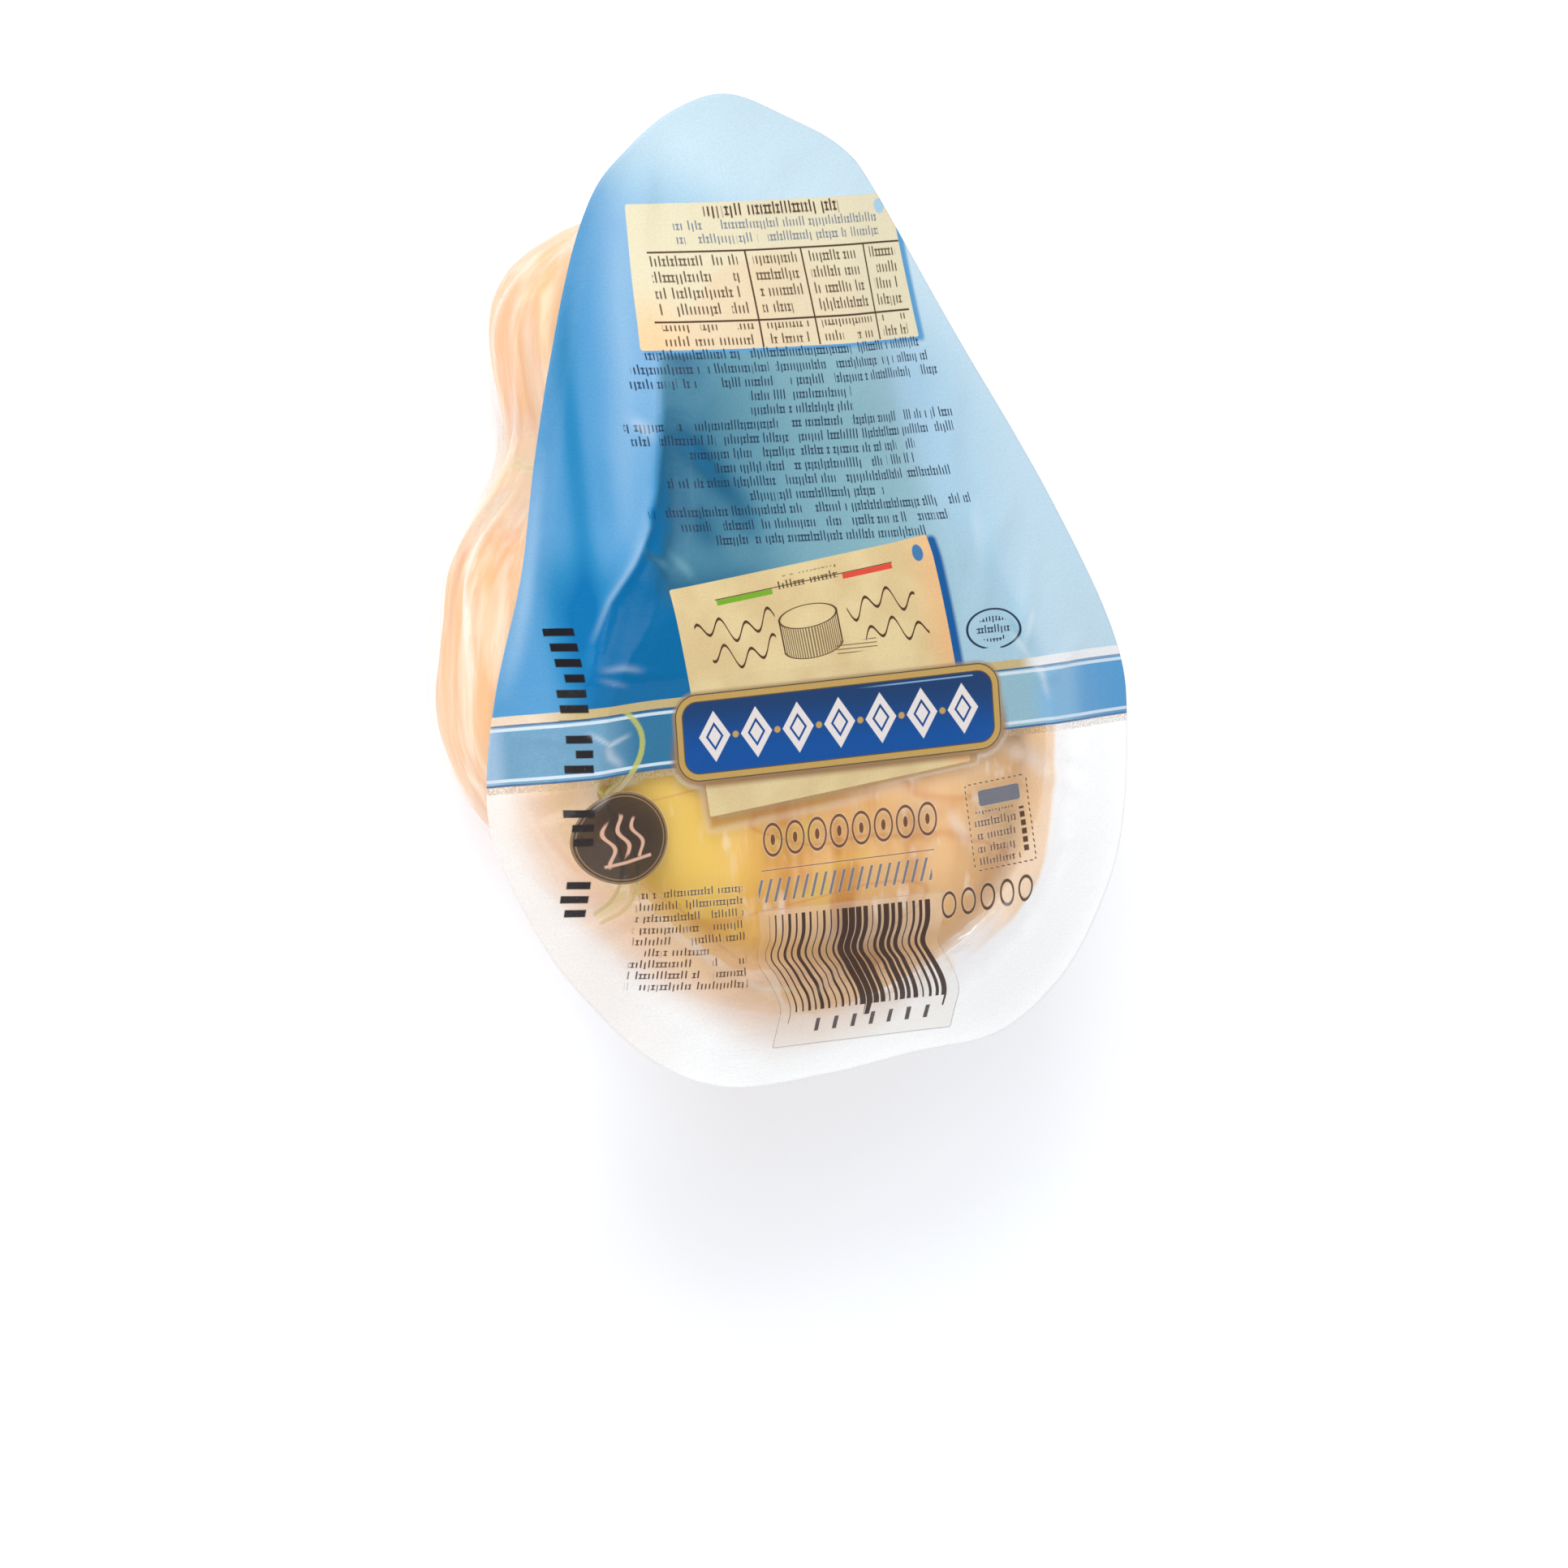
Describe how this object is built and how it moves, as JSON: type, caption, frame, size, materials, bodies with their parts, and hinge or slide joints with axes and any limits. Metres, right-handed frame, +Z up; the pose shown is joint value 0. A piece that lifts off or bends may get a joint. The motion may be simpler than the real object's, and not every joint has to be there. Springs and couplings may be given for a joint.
{
  "type": "smoked scamorza cheese in film pack",
  "caption": "Pear-shaped smoked cheese sealed between a printed front film with a wide rim and a clear back film that clings to it.",
  "frame": {"origin": "centre of the pack's outline, on the surface that it lies on", "axes": "+Z up out of the printed film, +Y towards the pointed end over the cheese's head, +X across the pack"},
  "size_m": [0.0886, 0.1266, 0.0602],
  "materials": {
    "clear_film": "glossy clear film clinging to the cheese",
    "printed_film": "satin printed film, partly clear",
    "cheese": "smooth smoked skin, moist",
    "tie_string": "thin yellow tie"
  },
  "bodies": {
    "root": {"cheese_pouch": "clear_film", "front_film": "printed_film"}
  },
  "joints": []
}
